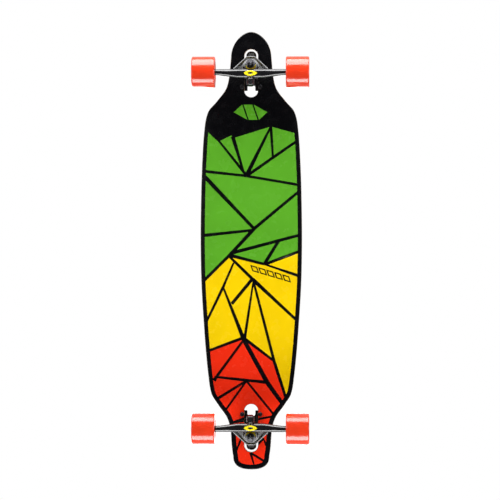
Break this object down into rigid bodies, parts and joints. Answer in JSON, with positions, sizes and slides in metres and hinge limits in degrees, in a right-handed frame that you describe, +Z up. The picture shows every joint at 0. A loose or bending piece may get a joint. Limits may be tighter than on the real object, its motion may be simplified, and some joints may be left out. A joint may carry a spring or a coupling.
{
  "type": "skateboard",
  "caption": "Drop-through longboard with cut-away necks, two sprung reverse-kingpin trucks and free-rolling urethane wheels.",
  "frame": {"origin": "on the ground under the middle of the deck, the board standing on its wheels", "axes": "+Z up, +Y towards the nose, X across the width"},
  "size_m": [0.262, 0.99, 0.1061],
  "materials": {
    "deck_paint": "painted and clear-coated maple, faceted colour panels",
    "grip": "fine black grit",
    "truck_black": "gloss black coat on cast metal",
    "steel": "plain zinc-plated steel",
    "dark_steel": "black oxide steel",
    "red_urethane": "glossy cast urethane",
    "yellow_urethane": "satin cast urethane",
    "core_plastic": "moulded black hub",
    "cup_urethane": "moulded cup"
  },
  "bodies": {
    "board": {"deck": "deck_paint", "grip_tape": "grip", "front_baseplate": "truck_black", "front_pivot_cup": "cup_urethane", "front_kingpin": "dark_steel", "front_kingpin_nut": "dark_steel", "front_board_washer": "dark_steel", "front_road_washer": "dark_steel", "front_board_bushing": "yellow_urethane", "front_road_bushing": "yellow_urethane", "front_bolt_1": "dark_steel", "front_bolt_nut_1": "dark_steel", "front_bolt_2": "dark_steel", "front_bolt_nut_2": "dark_steel", "front_bolt_3": "dark_steel", "front_bolt_nut_3": "dark_steel", "front_bolt_4": "dark_steel", "front_bolt_nut_4": "dark_steel", "rear_baseplate": "truck_black", "rear_pivot_cup": "cup_urethane", "rear_kingpin": "dark_steel", "rear_kingpin_nut": "dark_steel", "rear_board_washer": "dark_steel", "rear_road_washer": "dark_steel", "rear_board_bushing": "yellow_urethane", "rear_road_bushing": "yellow_urethane", "rear_bolt_1": "dark_steel", "rear_bolt_nut_1": "dark_steel", "rear_bolt_2": "dark_steel", "rear_bolt_nut_2": "dark_steel", "rear_bolt_3": "dark_steel", "rear_bolt_nut_3": "dark_steel", "rear_bolt_4": "dark_steel", "rear_bolt_nut_4": "dark_steel"},
    "front_truck_hanger": {"front_hanger": "truck_black", "front_axle": "steel", "front_left_axle_nut": "steel", "front_right_axle_nut": "steel"},
    "rear_truck_hanger": {"rear_hanger": "truck_black", "rear_axle": "steel", "rear_left_axle_nut": "steel", "rear_right_axle_nut": "steel"},
    "front_left_wheel_set": {"front_left_wheel": "red_urethane", "front_left_core": "core_plastic", "front_left_inner_bearing": "steel", "front_left_outer_bearing": "steel"},
    "front_right_wheel_set": {"front_right_wheel": "red_urethane", "front_right_core": "core_plastic", "front_right_inner_bearing": "steel", "front_right_outer_bearing": "steel"},
    "rear_left_wheel_set": {"rear_left_wheel": "red_urethane", "rear_left_core": "core_plastic", "rear_left_inner_bearing": "steel", "rear_left_outer_bearing": "steel"},
    "rear_right_wheel_set": {"rear_right_wheel": "red_urethane", "rear_right_core": "core_plastic", "rear_right_inner_bearing": "steel", "rear_right_outer_bearing": "steel"}
  },
  "joints": [
    {"name": "front_steer", "type": "hinge", "parent": "board", "child": "front_truck_hanger", "pos_m": [0, 0.41205, 0.052], "axis": [0, 0.8407, 0.5416], "range_deg": [-14, 14], "stiffness_Nm_per_rad": 25, "deforming": ["front_board_bushing", "front_road_bushing"]},
    {"name": "rear_steer", "type": "hinge", "parent": "board", "child": "rear_truck_hanger", "pos_m": [0, -0.41205, 0.052], "axis": [0, -0.8407, 0.5416], "range_deg": [-14, 14], "stiffness_Nm_per_rad": 25, "deforming": ["rear_board_bushing", "rear_road_bushing"]},
    {"name": "front_left_spin", "type": "hinge", "parent": "front_truck_hanger", "child": "front_left_wheel_set", "pos_m": [-0.105, 0.3979, 0.035], "axis": [1, 0, 0], "continuous": true},
    {"name": "front_right_spin", "type": "hinge", "parent": "front_truck_hanger", "child": "front_right_wheel_set", "pos_m": [0.105, 0.3979, 0.035], "axis": [1, 0, 0], "continuous": true},
    {"name": "rear_left_spin", "type": "hinge", "parent": "rear_truck_hanger", "child": "rear_left_wheel_set", "pos_m": [-0.105, -0.3979, 0.035], "axis": [1, 0, 0], "continuous": true},
    {"name": "rear_right_spin", "type": "hinge", "parent": "rear_truck_hanger", "child": "rear_right_wheel_set", "pos_m": [0.105, -0.3979, 0.035], "axis": [1, 0, 0], "continuous": true}
  ]
}
